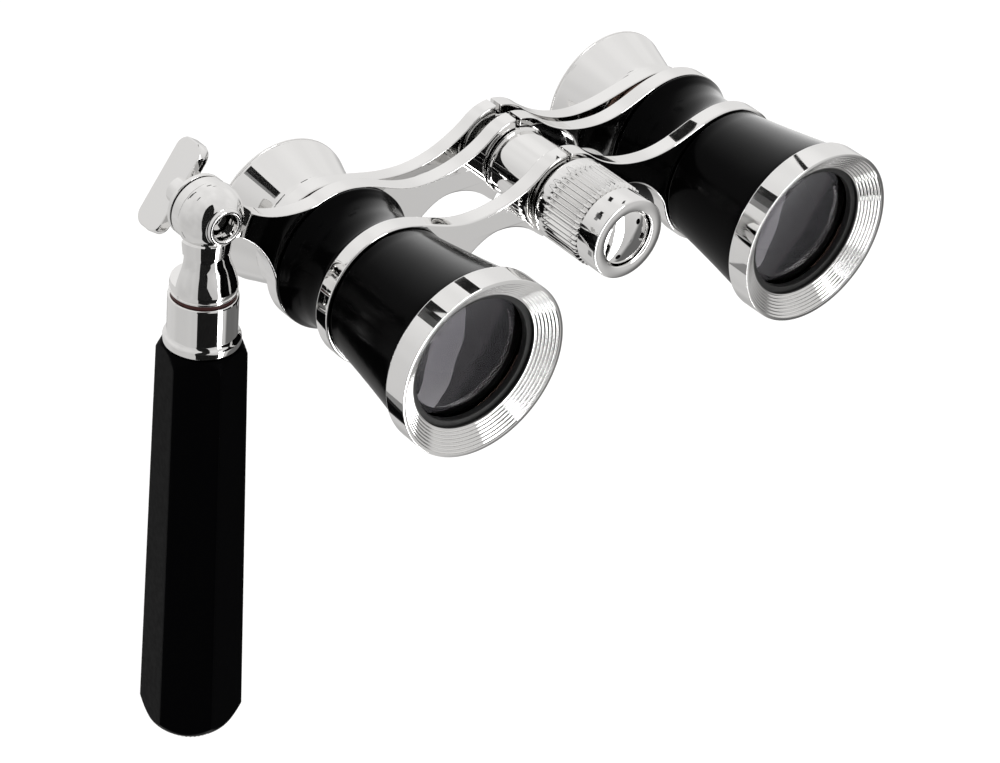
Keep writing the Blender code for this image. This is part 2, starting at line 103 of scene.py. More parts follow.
HANDLE_LEAN = radians(1.15)
HANDLE_X = -0.35             # the grip's axis beside the pivot
SCALE = Matrix.Scale(MM, 4)
GLASSES = Matrix.Translation(glasses_origin) @ SCALE
CENTRE = GLASSES @ Matrix.Translation((0, 0, HINGE_Z))
CLAMP = Matrix.Translation(pivot) @ SCALE
HANDLE = CLAMP @ Matrix.Rotation(HANDLE_LEAN, 4, "Y")
GRIP = HANDLE @ Matrix.Translation((HANDLE_X, 0, 0))
SIDES = {"left": -1, "right": 1}
BARREL = {side: GLASSES @ Matrix.Translation((x * BARREL_X, 0, 0)) for side, x in SIDES.items()}

# ---------------------------------------------------------------- sizes shared by several pieces
GAP = 0.3                    # between neighbouring pieces along an axis
BEZEL_R, OPENING_R = 16.4, 12.4
FRONT_PLATE = (25.3, 28.5)
REAR_PLATE = (39.3, 42.4)
EYE_PLATE = (44.9, 47.8)
FRONT_RIM_R, REAR_RIM_R, EYE_RIM_R = 13.25, 13.5, 11.5
KNUCKLE_R, LAP_R, LAP_CLEARANCE_R = 8.2, 6.3, 6.65
BARREL_END = 39.0            # where the rear barrels and the hinge's collar end
KNOB_FRONT, KNOB_REAR = 8.6, 24.2
LUG_R, LUG_FRONT, LUG_STEP_R = 5.6, 40.4, 8.2
SCREW_BORE_R, ROD_BORE_R = 2.15, 2.1
BALL_R = 5.8
GRIP_TOP_Z, GRIP_END_Z = -24.6, -105.6


# ---------------------------------------------------------------- materials
class Shader:
    """A procedural material: a Principled BSDF whose roughness and bump come from noise."""

    def __init__(self, name, colour, metallic, roughness, ior=1.5):
        self.material = bpy.data.materials.new(name)
        self.material.use_nodes = True
        self.nodes = self.material.node_tree.nodes
        self.links = self.material.node_tree.links
        self.shader = self.nodes["Principled BSDF"]
        self.set("Base Color", (*colour, 1.0))
        self.set("Metallic", metallic)
        self.set("Roughness", roughness)
        self.set("IOR", ior)
        self.place = self.nodes.new("ShaderNodeTexCoord").outputs["Object"]

    def set(self, socket, value):
        self.shader.inputs[socket].default_value = value

    def noise(self, scale, detail=3.0, stretch=None):
        place = self.place
        if stretch:
            mapping = self.nodes.new("ShaderNodeMapping")
            mapping.inputs["Scale"].default_value = stretch
            self.links.new(place, mapping.inputs["Vector"])
            place = mapping.outputs["Vector"]
        noise = self.nodes.new("ShaderNodeTexNoise")
        noise.inputs["Scale"].default_value = scale
        noise.inputs["Detail"].default_value = detail
        self.links.new(place, noise.inputs["Vector"])
        return noise.outputs["Fac"]

    def spread(self, value, low, high, start=0.3, end=0.7):
        """Map a noise value onto a range of numbers."""
        spread = self.nodes.new("ShaderNodeMapRange")
        spread.inputs["From Min"].default_value = start
        spread.inputs["From Max"].default_value = end
        spread.inputs["To Min"].default_value = low
        spread.inputs["To Max"].default_value = high
        self.links.new(value, spread.inputs["Value"])
        return spread.outputs["Result"]

    def blend_colours(self, value, first, second):
        mix = self.nodes.new("ShaderNodeMix")
        mix.data_type = "RGBA"
        mix.inputs["A"].default_value = (*first, 1.0)
        mix.inputs["B"].default_value = (*second, 1.0)
        self.links.new(value, mix.inputs["Factor"])
        self.links.new(mix.outputs["Result"], self.shader.inputs["Base Color"])

    def vary_roughness(self, value, low, high):
        self.links.new(self.spread(value, low, high), self.shader.inputs["Roughness"])

    def bump(self, value, height_mm, strength=1.0):
        bump = self.nodes.new("ShaderNodeBump")
        bump.inputs["Distance"].default_value = height_mm * MM
        bump.inputs["Strength"].default_value = strength
        self.links.new(value, bump.inputs["Height"])
        self.links.new(bump.outputs["Normal"], self.shader.inputs["Normal"])


def chrome_plate():
    """Bright plating: a mirror with the faint unevenness that polishing leaves."""
    s = Shader("bright_chrome", (0.86, 0.855, 0.845), 1.0, 0.03)
    s.vary_roughness(s.noise(350, 4), 0.02, 0.05)
    s.blend_colours(s.noise(60), (0.87, 0.865, 0.86), (0.845, 0.84, 0.83))
    s.bump(s.noise(110, 1.0), 0.004, 0.3)
    return s.material


def black_lacquer():
    """Stoved lacquer over brass: deep black and glossy, with a slight flow texture."""
    s = Shader("gloss_black_lacquer", (0.001, 0.001, 0.0011), 0.0, 0.16, ior=1.1)
    s.vary_roughness(s.noise(500, 5), 0.13, 0.19)
    s.bump(s.noise(260, 2), 0.002, 0.25)
    return s.material


def satin_grip():
    """Moulded black grip with a fine satin grain."""
    s = Shader("satin_black_grip", (0.0013, 0.0013, 0.0016), 0.0, 0.38, ior=1.06)
    s.vary_roughness(s.noise(900, 6), 0.3, 0.42)
    s.bump(s.noise(2600, 3), 0.006, 0.35)
    return s.material


def matt_black():
    """Anodised rings round the lenses, fine-grained so that they don't shine."""
    s = Shader("matt_black_anodised", (0.012, 0.012, 0.012), 0.0, 0.5, ior=1.4)
    s.vary_roughness(s.noise(700, 4), 0.42, 0.6)
    s.bump(s.noise(3000, 2), 0.004, 0.4)
    return s.material


def lens_glass():
    """Single-coated optical glass with a violet bloom."""
    s = Shader("coated_glass", (0.9, 0.9, 0.93), 0.0, 0.0, ior=1.3)
    s.set("Transmission Weight", 1.0)
    s.set("Specular Tint", (0.95, 0.9, 1.0, 1.0))
    s.vary_roughness(s.noise(400, 3), 0.0, 0.012)
    return s.material


def turned_steel():
    """Plain steel with the fine rings that turning leaves."""
    s = Shader("turned_steel", (0.6, 0.6, 0.59), 1.0, 0.22)
    s.vary_roughness(s.noise(250, 5, (1, 30, 1)), 0.16, 0.3)
    s.bump(s.noise(250, 3, (1, 40, 1)), 0.004, 0.4)
    return s.material


def darkened_brass():
    """Turned brass, chemically darkened."""
    s = Shader("darkened_brass", (0.16, 0.1, 0.075), 1.0, 0.22)
    s.vary_roughness(s.noise(250, 5, (1, 30, 1)), 0.16, 0.3)
    s.blend_colours(s.noise(90), (0.17, 0.105, 0.08), (0.12, 0.07, 0.055))
    return s.material


def red_fibre():
    """Vulcanised fibre: dark red, slightly mottled, with a waxy surface."""
    s = Shader("red_fibre", (0.06, 0.018, 0.016), 0.0, 0.45, ior=1.3)
    s.blend_colours(s.noise(900, 4), (0.075, 0.02, 0.018), (0.04, 0.013, 0.012))
    s.vary_roughness(s.noise(700, 3), 0.38, 0.55)
    return s.material


LOOKS = {
    "polished_chrome": chrome_plate(),
    "black_lacquer": black_lacquer(),
    "grip": satin_grip(),
    "matt_black": matt_black(),
    "lens_glass": lens_glass(),
    "steel": turned_steel(),
    "brass": darkened_brass(),
    "fibre": red_fibre(),
}
SLOT_OF = {part["node"]: part["material_slot"] for part in frame["record"]["subparts"]}
BODY_OF = {
    node: body for body, nodes in frame["record"]["behaviour"]["bodies"].items() for node in nodes
}


# ---------------------------------------------------------------- outlines and meshes
def corners(*pairs):
    return [Vector(pair) for pair in pairs]


def rounded(points, steps=4):
    """Round the corners of a closed outline: a point's third number is how far back from it."""
    smooth = []
    for k, point in enumerate(points):
        corner = Vector(point[:2])
        if len(point) < 3:
            smooth.append(corner)
            continue
        before = Vector(points[k - 1][:2]) - corner
        after = Vector(points[(k + 1) % len(points)][:2]) - corner
        reach = min(point[2], 0.49 * before.length, 0.49 * after.length)
        start = corner + before.normalized() * reach
        end = corner + after.normalized() * reach
        for step in range(steps + 1):
            s = step / steps
            smooth.append(start * (1 - s) ** 2 + corner * 2 * s * (1 - s) + end * s**2)
    return smooth


def flowing(points, steps=6):
    """A smooth curve through all the points (Catmull-Rom)."""
    knots = [Vector(p) for p in points]
    knots = [2 * knots[0] - knots[1], *knots, 2 * knots[-1] - knots[-2]]
    curve = []
    for a, b, c, d in zip(knots, knots[1:], knots[2:], knots[3:]):
        for step in range(steps):
            t = step / steps
            curve.append(
                0.5 * (2 * b + (c - a) * t + (2 * a - 5 * b + 4 * c - d) * t**2
                       + (3 * b - a - 3 * c + d) * t**3)
            )
    return curve + [knots[-2]]


def arc(centre, radius, start_deg, end_deg, steps):
    angles = [radians(start_deg + (end_deg - start_deg) * k / steps) for k in range(steps + 1)]
    return [Vector((centre[0] + radius * cos(a), centre[1] + radius * sin(a))) for a in angles]


def smooth_curve(start, start_handle, end_handle, end, steps):
    """Inner points of one Bezier piece in the XZ plane."""
    knots = [Vector((x, z, 0)) for x, z in (start, start_handle, end_handle, end)]
    return [p.xy for p in interpolate_bezier(*knots, steps + 1)[1:-1]]


def lathe_mesh(profile, axis="Y", turns=TURNS):
    """Turn a profile of (radius, place along the axis) points into a closed mesh."""
    bm = bmesh.new()
    rings = []
    for radius, along in profile:
        ring = []
        for k in range(turns if radius > 1e-6 else 1):
            a, b = radius * cos(2 * pi * k / turns), radius * sin(2 * pi * k / turns)
            ring.append(bm.verts.new((a, b, along) if axis == "Z" else (a, along, b)))
        rings.append(ring)
    pairs = list(zip(rings, rings[1:]))
    if len(rings[0]) > 1:
        pairs.append((rings[-1], rings[0]))
    for first, second in pairs:
        for k in range(turns):
            following = (k + 1) % turns
            face = [first[k % len(first)], first[following % len(first)]]
            face += [second[following % len(second)], second[k % len(second)]]
            unique = list(dict.fromkeys(face))
            if len(unique) > 2:
                bm.faces.new(unique)
    bmesh.ops.recalc_face_normals(bm, faces=bm.faces)
    return bm


def join_rings(bm, rings, capped=False):
    """Fill the strips between rings of equally many points, and close the two ends if asked."""
    for first, second in zip(rings, rings[1:]):
        for k in range(len(first)):
            following = (k + 1) % len(first)
            bm.faces.new((first[k], first[following], second[following], second[k]))
    if capped:
        bm.faces.new(rings[-1])
        bm.faces.new(list(reversed(rings[0])))
    bmesh.ops.recalc_face_normals(bm, faces=bm.faces)


def add_object(name, bm, place):
    """A mesh in millimetres becomes an object whose mesh is in place, in metres."""
    bmesh.ops.transform(bm, matrix=place, verts=bm.verts)
    mesh = bpy.data.meshes.new(name)
    bm.to_mesh(mesh)
    bm.free()
    obj = bpy.data.objects.new(name, mesh)
    bpy.context.collection.objects.link(obj)
    return obj


def finish_piece(obj, node):
    """Give a piece its normals and material, and let it stand for its CAD node."""
    obj.data.shade_smooth()
    obj.data.set_sharp_from_angle(angle=SHARP)
    even = obj.modifiers.new("even_normals", "WEIGHTED_NORMAL")
    even.mode = "FACE_AREA"
    even.keep_sharp = True
    obj.data.materials.clear()
    obj.data.materials.append(LOOKS[SLOT_OF[node]])
    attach(obj, BODY_OF[node])
    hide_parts(node)
    return obj


def turned(node, profile, place, axis="Y"):
    """A piece that is all one turned profile."""
    bm = lathe_mesh([Vector(p[:2]) for p in profile], axis)
    return finish_piece(add_object(f"{node}_turned", bm, place), node)


def carve(obj, tool_mesh, place, operation="DIFFERENCE"):
    """Cut a mesh out of a piece, or join it on, and keep only the result."""
    tool = add_object(f"{obj.name}_tool", tool_mesh, place)
    modifier = obj.modifiers.new("carve", "BOOLEAN")
    modifier.operation = operation
    modifier.solver = "EXACT"
    modifier.object = tool
    bpy.context.view_layer.update()
    shaped = obj.evaluated_get(bpy.context.evaluated_depsgraph_get())
    obj.modifiers.clear()
    old = obj.data
    obj.data = bpy.data.meshes.new_from_object(shaped)
    obj.data.name = old.name
    bpy.data.meshes.remove(old)
    bpy.data.objects.remove(tool)


def disc(radius, start, end):
    """Profile of a plain disc, as a tool for boring or facing."""
    return [(0, start), (radius, start), (radius, end), (0, end)]


# ---------------------------------------------------------------- bevelled plates
def plate_object(name, outline, holes, faces, edge):
    """A flat plate with rounded edges, cut from an outline in the glasses' XZ plane."""
    curve = bpy.data.curves.new(name, "CURVE")
    curve.dimensions = "2D"
    curve.fill_mode = "BOTH"
    for loop in [outline, *holes]:
        spline = curve.splines.new("POLY")
        spline.points.add(len(loop) - 1)
        for point, (x, z) in zip(spline.points, loop):
            point.co = (x, z, 0, 1)
        spline.use_cyclic_u = True
    curve.extrude = (faces[1] - faces[0]) / 2 - edge
    curve.bevel_depth = edge
    curve.bevel_resolution = 3
    curve.offset = -edge
    flat = bpy.data.objects.new(f"{name}_curve", curve)
    bpy.context.collection.objects.link(flat)
    bpy.context.view_layer.update()
    shaped = flat.evaluated_get(bpy.context.evaluated_depsgraph_get())
    mesh = bpy.data.meshes.new_from_object(shaped)
    bpy.data.objects.remove(flat)
    bm = bmesh.new()
    bm.from_mesh(mesh)
    bpy.data.meshes.remove(mesh)
    bmesh.ops.remove_doubles(bm, verts=bm.verts, dist=1e-5)
    bmesh.ops.recalc_face_normals(bm, faces=bm.faces)
    stand = Matrix.Translation((0, (faces[0] + faces[1]) / 2, 0)) @ Matrix.Rotation(pi / 2, 4, "X")
    return add_object(name, bm, GLASSES @ stand)


def rim_point(radius, angle_deg):
    angle = radians(angle_deg)
    return Vector((-BARREL_X + radius * cos(angle), radius * sin(angle)))


def knuckle_point(angle_deg):
    angle = radians(angle_deg)
    return Vector((KNUCKLE_R * cos(angle), HINGE_Z + KNUCKLE_R * sin(angle)))


def arm_outline(rim_r, waist_top, arch_top, wing=None):
    """Outline of a left arm: knuckle, waisted top edge, rim, arched lower edge, lap disc."""
    hinge_at = (0, HINGE_Z)
    rim = (-BARREL_X, 0)
    top_end, low_end = 93, 239
    points = arc(hinge_at, KNUCKLE_R, top_end, 130, 14)
    leave, waist = points[-1], (-19.5, waist_top)
    points += smooth_curve(leave, (leave[0] - 4.0, leave[1] - 3.4), (-14.5, waist_top), waist, 20)
    points.append(Vector(waist))
    meet = rim_point(rim_r, 78)
    points += smooth_curve(waist, (-25.5, waist_top), (-29.0, rim_r - 1.2), meet, 20)
    if wing:
        points += [meet] + wing
    else:
        points += arc(rim, rim_r, 78, 180, 40)
    points += arc(rim, rim_r, 182, 346, 64)
    low = points[-1]
    arch = (-14.2, arch_top)
    points += smooth_curve(low, (low[0] + 0.6, low[1] + 3.0), (-18.6, arch_top), arch, 18)
    points.append(Vector(arch))
    foot = knuckle_point(228)
    points += smooth_curve(arch, (-10.6, arch_top), (foot[0] - 2.2, foot[1] + 2.0), foot, 14)
    points += arc(hinge_at, KNUCKLE_R, 228, low_end, 4)
    points += arc(hinge_at, LAP_R, low_end, top_end + 360, 48)
    return points


def wing_outline(rim_r):
    """The rear plate's wing from the rim's top, round the lug and back to the rim."""
    lug = (PIVOT.x, PIVOT.z)
    top, shoulder, hip = rim_point(rim_r, 112), (-57.0, 16.4), (-58.2, 11.2)
    points = arc((-BARREL_X, 0), rim_r, 80, 112, 12)
    points += smooth_curve(top, (-44.6, 11.9), (-52.4, 11.8), shoulder, 18)
    points += [Vector(shoulder)] + arc(lug, LUG_R, 38, 285, 44) + [Vector(hip)]
    points += smooth_curve(hip, (-54.6, 9.0), (-51.8, 5.2), rim_point(rim_r, 180), 16)
    points.append(rim_point(rim_r, 180))
    return points


def plate(side, part, faces, rim_r, bores, waist_top, edge, wing=None):
    """One arm of a plate: the left arm laps in front, the right arm behind."""
    node = f"{side}_{part}"
    arch_top = 5.2
    outline = arm_outline(rim_r, waist_top, arch_top, wing)
    holes = [
        arc((-BARREL_X, 0), bores[0], 360, 2.5, 143),
        arc((0, HINGE_Z), bores[1], 360, 5, 71),
    ]
    if side == "right":
        outline = [Vector((-x, z)) for x, z in reversed(outline)]
        holes = [[Vector((-x, z)) for x, z in reversed(hole)] for hole in holes]
    obj = plate_object(f"{node}_bevelled", outline, holes, faces, edge)
    middle, half_gap = (faces[0] + faces[1]) / 2, 0.15
    start, end = middle - half_gap, faces[1] + 1
    if side == "right":
        start, end = faces[0] - 1, middle + half_gap
    carve(obj, lathe_mesh(disc(LAP_CLEARANCE_R, start, end)), CENTRE)
    if wing:
        lug = CLAMP @ Matrix.Translation((0, -PIVOT.y, 0))
        carve(obj, lathe_mesh(disc(LUG_STEP_R, faces[0] - 1, LUG_FRONT)), lug)
        carve(obj, lathe_mesh(disc(SCREW_BORE_R, faces[0] - 1, faces[1] + 1), turns=48), lug)
    return finish_piece(obj, node)


def plates():
    """Three pairs of arms, each pair lapped at the hinge: front, rear and eyepieces."""
    for side in SIDES:
        wing = wing_outline(REAR_RIM_R) if side == "left" else None
        plate(side, "front_plate", FRONT_PLATE, FRONT_RIM_R, (12.0, 3.9), 9.1, 0.35)
        plate(side, "rear_plate", REAR_PLATE, REAR_RIM_R, (10.95, 3.9), 9.1, 0.25, wing)
        plate(side, "eyepiece_arm", EYE_PLATE, EYE_RIM_R, (9.3, 3.4), 8.5, 0.25)


# ---------------------------------------------------------------- barrels and optics
def bezel_profile():
    """Outer band, narrow flat rim, then a dished face with turned grooves down to the opening."""
    grooves, depth, steps = 7, 0.2, 10
    outer, inner = Vector((BEZEL_R - 0.6, 0.0)), Vector((OPENING_R + 0.1, 2.5))
    run = inner - outer
    into_metal = Vector((run.y, -run.x)).normalized()
    face = []
    for k in range(grooves * steps + 1):
        dip = 0.5 - 0.5 * cos(2 * pi * k / steps)
        face.append(outer + run * (k / (grooves * steps)) + into_metal * depth * dip)
    return rounded([
        (BEZEL_R, 0.0, 0.12), (BEZEL_R, 4.7, 0.25), (14.9, 4.7, 0.1), (14.9, 2.9),
        (OPENING_R, 2.9, 0.1), (OPENING_R, 2.5), *reversed(face),
    ], 3)


def barrels():
    """Each barrel with its bezel, its lens and the black ring that holds the lens."""
    for side, place in BARREL.items():
        turned(f"{side}_objective_bezel", bezel_profile(), place)
        ring = [(11.3, 3.2, 0.2), (13.0, 3.2, 0.1), (13.0, 4.4), (11.3, 4.4, 0.1)]
        turned(f"{side}_lens_ring", rounded(ring), place)
        front = flowing([(0, 2.95), (4.5, 3.25), (8.5, 3.95), (11.5, 4.85), (12.9, 5.25)])
        rear = flowing([(12.9, 7.2), (9.0, 7.55), (4.5, 7.82), (0, 7.9)])
        turned(f"{side}_objective_lens", front + rear, place)
        outside = flowing([(15.55, 5.1), (15.35, 6.6), (14.3, 12.8), (13.35, 19.0), (12.75, 23.4)])
        cone = rounded([(14.6, 3.2), (14.6, 5.0)]) + outside
        cone += rounded([
            (12.7, 24.3), (12.7, 25.0, 0.2), (11.6, 25.0), (12.2, 8.4), (13.3, 7.9), (13.3, 3.2),
        ])
        turned(f"{side}_objective_barrel", cone, place)
        waist = flowing([
            (12.6, 28.8), (12.15, 29.7), (11.9, 31.2), (11.85, 33.0), (11.95, 35.0),
            (12.35, 36.8), (12.95, 38.0), (13.3, 38.6),
        ])
        spool = waist + rounded([
            (13.4, 38.8), (13.4, BARREL_END, 0.1), (10.9, BARREL_END), (10.9, 25.3),
            (11.7, 25.3), (11.7, 28.8),
        ])
        turned(f"{side}_rear_barrel", spool, place)


def eyepieces():
    """Each flared cup with its tube, its lens and the ring that holds the lens."""
    for side, place in BARREL.items():
        start = EYE_PLATE[1] + GAP
        flare = flowing([
            (10.9, start + 0.9), (11.15, 49.8), (12.0, 52.3), (12.9, 54.9), (13.65, 57.0),
        ])
        bowl = flowing([(12.95, 57.35), (12.2, 54.6), (11.2, 52.2), (10.0, 50.9), (8.2, 50.35)])
        cup = [(10.9, start + 0.05)] + flare
        cup += rounded([(13.7, 57.25, 0.1), (13.7, 57.7, 0.3), (13.1, 57.7, 0.25)]) + bowl
        cup += rounded([(7.0, 50.2, 0.2), (7.0, 49.6), (9.3, 49.6), (9.3, start)])
        turned(f"{side}_eyecup", cup, place)
        tube = rounded([(9.0, 32.0, 0.2), (9.0, 49.3), (8.3, 49.3), (8.3, 32.0, 0.2)])
        turned(f"{side}_eyepiece_tube", tube, place)
        front = flowing([(0, 46.9), (4.0, 46.65), (7.9, 45.95)])
        rear = flowing([(7.9, 48.4), (4.0, 47.9), (0, 47.7)])
        turned(f"{side}_eye_lens", front + rear, place)
        ring = rounded([(7.0, 44.3, 0.2), (8.0, 44.3), (8.0, 45.6), (7.0, 45.6, 0.2)])
        turned(f"{side}_eye_lens_ring", ring, place)


# ---------------------------------------------------------------- centre hinge and focusing
def centre_hinge():
    """The tube that the halves fold about, what is stacked on it, and the rod inside."""
    front, rear = FRONT_PLATE[0], REAR_PLATE[1]
    tube = rounded([
        (3.6, front - 0.9), (3.6, 28.8), (6.2, 28.8, 0.15), (6.2, 38.1, 0.12), (3.6, 38.1),
        (3.6, rear + 0.7, 0.2), (2.9, rear + 0.7), (2.9, front - 0.9),
    ])
    turned("hinge_tube", tube, CENTRE)
    collar = rounded([
        (5.8, 38.2, 0.1), (6.5, 38.55, 0.1), (6.5, BARREL_END, 0.08), (3.9, BARREL_END),
        (3.9, 38.2),
    ])
    turned("hinge_collar", collar, CENTRE)
    nut = rounded([
        (5.6, rear + GAP), (5.6, rear + 1.0, 0.2), (3.9, rear + 1.0, 0.1), (3.9, rear + GAP),
    ])
    turned("hinge_rear_nut", nut, CENTRE)
    washer = rounded([(6.9, 24.5, 0.15), (6.9, 25.0, 0.15), (3.9, 25.0), (3.9, 24.5)])
    turned("knob_washer", washer, CENTRE)
    rod = rounded([
        (0, 44.7), (1.9, 44.7), (1.9, 27.0), (2.6, 27.0), (2.6, 44.4), (3.1, 44.6),
        (3.1, 50.4, 0.4), (0, 50.4),
    ])
    turned("drive_rod", rod, CENTRE)
    start = EYE_PLATE[1] + GAP
    nut = rounded([
        (3.4, start), (5.4, start, 0.1), (5.4, start + 1.6, 0.3), (4.5, start + 2.2, 0.2),
        (3.4, start + 2.2, 0.1),
    ])
    turned("bridge_nut", nut, CENTRE)


def knob_mesh():
    """Ring, straight-ribbed sleeve and plain band, hollow behind and recessed in front."""
    ribs, per_rib, groove, first_groove = 45, 10, 0.5, radians(2.5)
    around = ribs * per_rib
    front, rib_start, rib_end, rear = KNOB_FRONT, 13.45, 22.1, KNOB_REAR
    top_r, ring_r = 7.8, 7.45
    chamfer, run_out, steps = 0.3, 1.0, 6
    fade_start = rib_end - run_out
    sleeve = [(rib_start + (fade_start - rib_start) * k / steps, 1.0) for k in range(steps + 1)]
    sleeve.insert(1, (rib_start + chamfer, 1.0))
    for k in range(1, steps):
        sleeve.append((fade_start + run_out * k / steps, cos(pi / 2 * k / steps) ** 0.8))
    sleeve += [(rib_end, 0.0), (rear - chamfer, 0.0)]
    ring_face = rounded([
        (2.2, front + 5.0), (2.2, front + 2.6), (5.25, front + 2.6, 0.1), (5.25, front, 0.22),
        (ring_r, front, 0.3), (ring_r, rib_start - 0.25, 0.08), (7.1, rib_start - 0.1),
        (7.1, rib_start),
    ])[1:]
    bm = bmesh.new()

    def ring_of(radius_at, along):
        verts = []
        for k in range(around):
            radius, angle = radius_at(k), 2 * pi * k / around
            verts.append(bm.verts.new((radius * cos(angle), along, radius * sin(angle))))
        return verts

    rings = [ring_of(lambda k, r=r: r, y) for r, y in ring_face]
    for y, depth in sleeve:
        rib_r = top_r - 0.25 * max(0.0, 1 - (y - rib_start) / chamfer)

        def ribbed(k, depth=depth, rib_r=rib_r):
            turn = (2 * pi * k / around - first_groove) * ribs
            return rib_r - groove * depth * (0.5 + 0.5 * cos(turn)) ** 1.4

        rings.append(ring_of(ribbed, y))
    back = ((top_r - 0.12, rear - 0.08), (top_r - chamfer, rear), (6.3, rear), (6.3, front + 5.0))
    for r, y in back:
        rings.append(ring_of(lambda k, r=r: r, y))
    join_rings(bm, [*rings, rings[0]])
    return bm


def focus_knob():
    """The knob, and the domed cap in its end with two spanner holes."""
    finish_piece(add_object("focus_knob_knurled", knob_mesh(), CENTRE), "focus_knob")
    front = KNOB_FRONT
    dome = flowing([
        (0, front - 0.4), (1.2, front - 0.35), (2.4, front - 0.18), (3.6, front + 0.1),
        (4.4, front + 0.36), (4.85, front + 0.55),
    ])
    cap = dome + corners((4.95, front + 0.66), (4.95, front + 2.3), (0, front + 2.3))
    obj = add_object("knob_end_cap_domed", lathe_mesh(cap), CENTRE)
    hole_r, hole_ring_r = 0.5, 3.46
    for angle in (radians(57), radians(237)):
        place = CENTRE @ Matrix.Translation((hole_ring_r * cos(angle), 0, hole_ring_r * sin(angle)))
        carve(obj, lathe_mesh(disc(hole_r, front - 1.0, front + 2.1), turns=32), place)
    finish_piece(obj, "knob_end_cap")


# ---------------------------------------------------------------- handle
def handle_head():
    """Half ball, waisted neck and bell in one piece, milled flat behind for the lug."""
    cuff = corners(
        (0, -2.0), (3.0, -2.0), (4.6, -3.8), (4.5, -4.8), (4.32, -6.3), (4.12, -6.45), (4.08, -6.7),
    )
    neck = flowing([
        (4.1, -7.1), (4.35, -8.5), (4.9, -10.0), (5.3, -11.2), (5.55, -12.2), (5.7, -13.1),
    ])
    bell = cuff + neck + rounded([(5.78, -13.9, 0.3), (5.6, -14.45, 0.2), (0, -14.45)])
    obj = add_object("handle_head_turned", lathe_mesh(bell, "Z", 96), GRIP)
    ball = corners((SCREW_BORE_R, 1.0), (SCREW_BORE_R, -3.6), (2.32, -3.6), (2.32, -4.95))
    ball += arc((2.78, -4.95), 0.45, 190, 350, 12)      # the rolled eyelet round the bore
    ball += corners((3.24, -4.8), (3.4, -4.72))
    ball += arc((0, 0), BALL_R, -53.9, 8, 40)
    carve(obj, lathe_mesh(ball, turns=128), HANDLE, "UNION")
    flat = bmesh.new()
    bmesh.ops.create_cube(flat, size=1.0)
    bmesh.ops.scale(flat, vec=(20, 10, 22.2), verts=flat.verts)
    bmesh.ops.translate(flat, vec=(0, 5.03, -1.1), verts=flat.verts)
    carve(obj, flat, HANDLE)
    carve(obj, lathe_mesh(disc(SCREW_BORE_R, -7, 3), turns=128), HANDLE)
    carve(obj, lathe_mesh(disc(ROD_BORE_R, -16, -12.6), "Z", 48), GRIP)
    finish_piece(obj, "handle_head")


def grip_mesh():
    """Six-sided taper with softened edges, turned round at both ends."""
    columns, turn, soften = 216, radians(-10) - pi / 2, 0.16
    top_corner_r, end_corner_r = 7.7, 9.3
    turned_ends = [
        (GRIP_TOP_Z, 6.55), (GRIP_TOP_Z - 0.35, 6.9), (GRIP_TOP_Z - 2.2, 8.0),
        (GRIP_TOP_Z - 10, 10.2), (GRIP_END_Z + 5.2, 10.2), (GRIP_END_Z + 3.0, 9.3),
        (GRIP_END_Z + 0.35, 7.5), (GRIP_END_Z, 7.1),
    ]
    rows = [GRIP_TOP_Z - 0.12 * k for k in range(5)]
    rows += [GRIP_TOP_Z - 0.5 - 0.4 * k for k in range(24)]
    rows += [-36 - 6 * k for k in range(11)]
    rows += [GRIP_END_Z + 0.25 * k for k in range(28, 1, -1)]
    rows += [GRIP_END_Z + 0.12 * k for k in (2, 1, 0)]

    def turned_radius(z):
        for (z0, r0), (z1, r1) in zip(turned_ends, turned_ends[1:]):
            if z1 <= z <= z0:
                return r0 + (r1 - r0) * (z - z0) / (z1 - z0)
        return turned_ends[-1][1]

    def radius_at(angle, z):
        share = (z - GRIP_TOP_Z) / (GRIP_END_Z - GRIP_TOP_Z)
        apothem = (top_corner_r + (end_corner_r - top_corner_r) * share) * cos(pi / 6)
        off = (angle - turn) % (pi / 3) - pi / 6
        flat = apothem / cos(off)
        beside = apothem / cos(pi / 3 - abs(off))
        low, high = sorted((flat, min(beside, turned_radius(z))))
        blend = max(soften - (high - low), 0.0) / soften
        return low - blend**2 * soften / 4

    bm = bmesh.new()
    rings = []
    for z in rows:
        ring = []
        for k in range(columns):
            angle = 2 * pi * k / columns
            radius = radius_at(angle, z)
            ring.append(bm.verts.new((radius * cos(angle), radius * sin(angle), z)))
        rings.append(ring)
    for z in (GRIP_END_Z, GRIP_TOP_Z):
        ring = []
        for k in range(columns):
            angle = 2 * pi * k / columns
            ring.append(bm.verts.new((ROD_BORE_R * cos(angle), ROD_BORE_R * sin(angle), z)))
        rings.append(ring)
    join_rings(bm, [*rings, rings[0]])
    return bm


def end_cap_mesh():
    """Small cap with a fine straight knurl round its edge."""
    ribs, per_rib, groove = 48, 4, 0.22
    around = ribs * per_rib
    end = GRIP_END_Z
    levels = [
        (2.3, end - 1.3, 0), (2.3, end - 0.3, 0), (5.75, end - 0.3, 0), (6.0, end - 0.42, 1),
        (6.0, end - 1.15, 1), (5.7, end - 1.45, 0.4), (5.2, end - 1.7, 0),
    ]
    bm = bmesh.new()
    rings = []
    for radius, z, cut in levels:
        ring = []
        for k in range(around):
            angle = 2 * pi * k / around
            r = radius - groove * cut * (k % per_rib in (0, 1))
            ring.append(bm.verts.new((r * cos(angle), r * sin(angle), z)))
        rings.append(ring)
    join_rings(bm, rings, capped=True)
    return bm


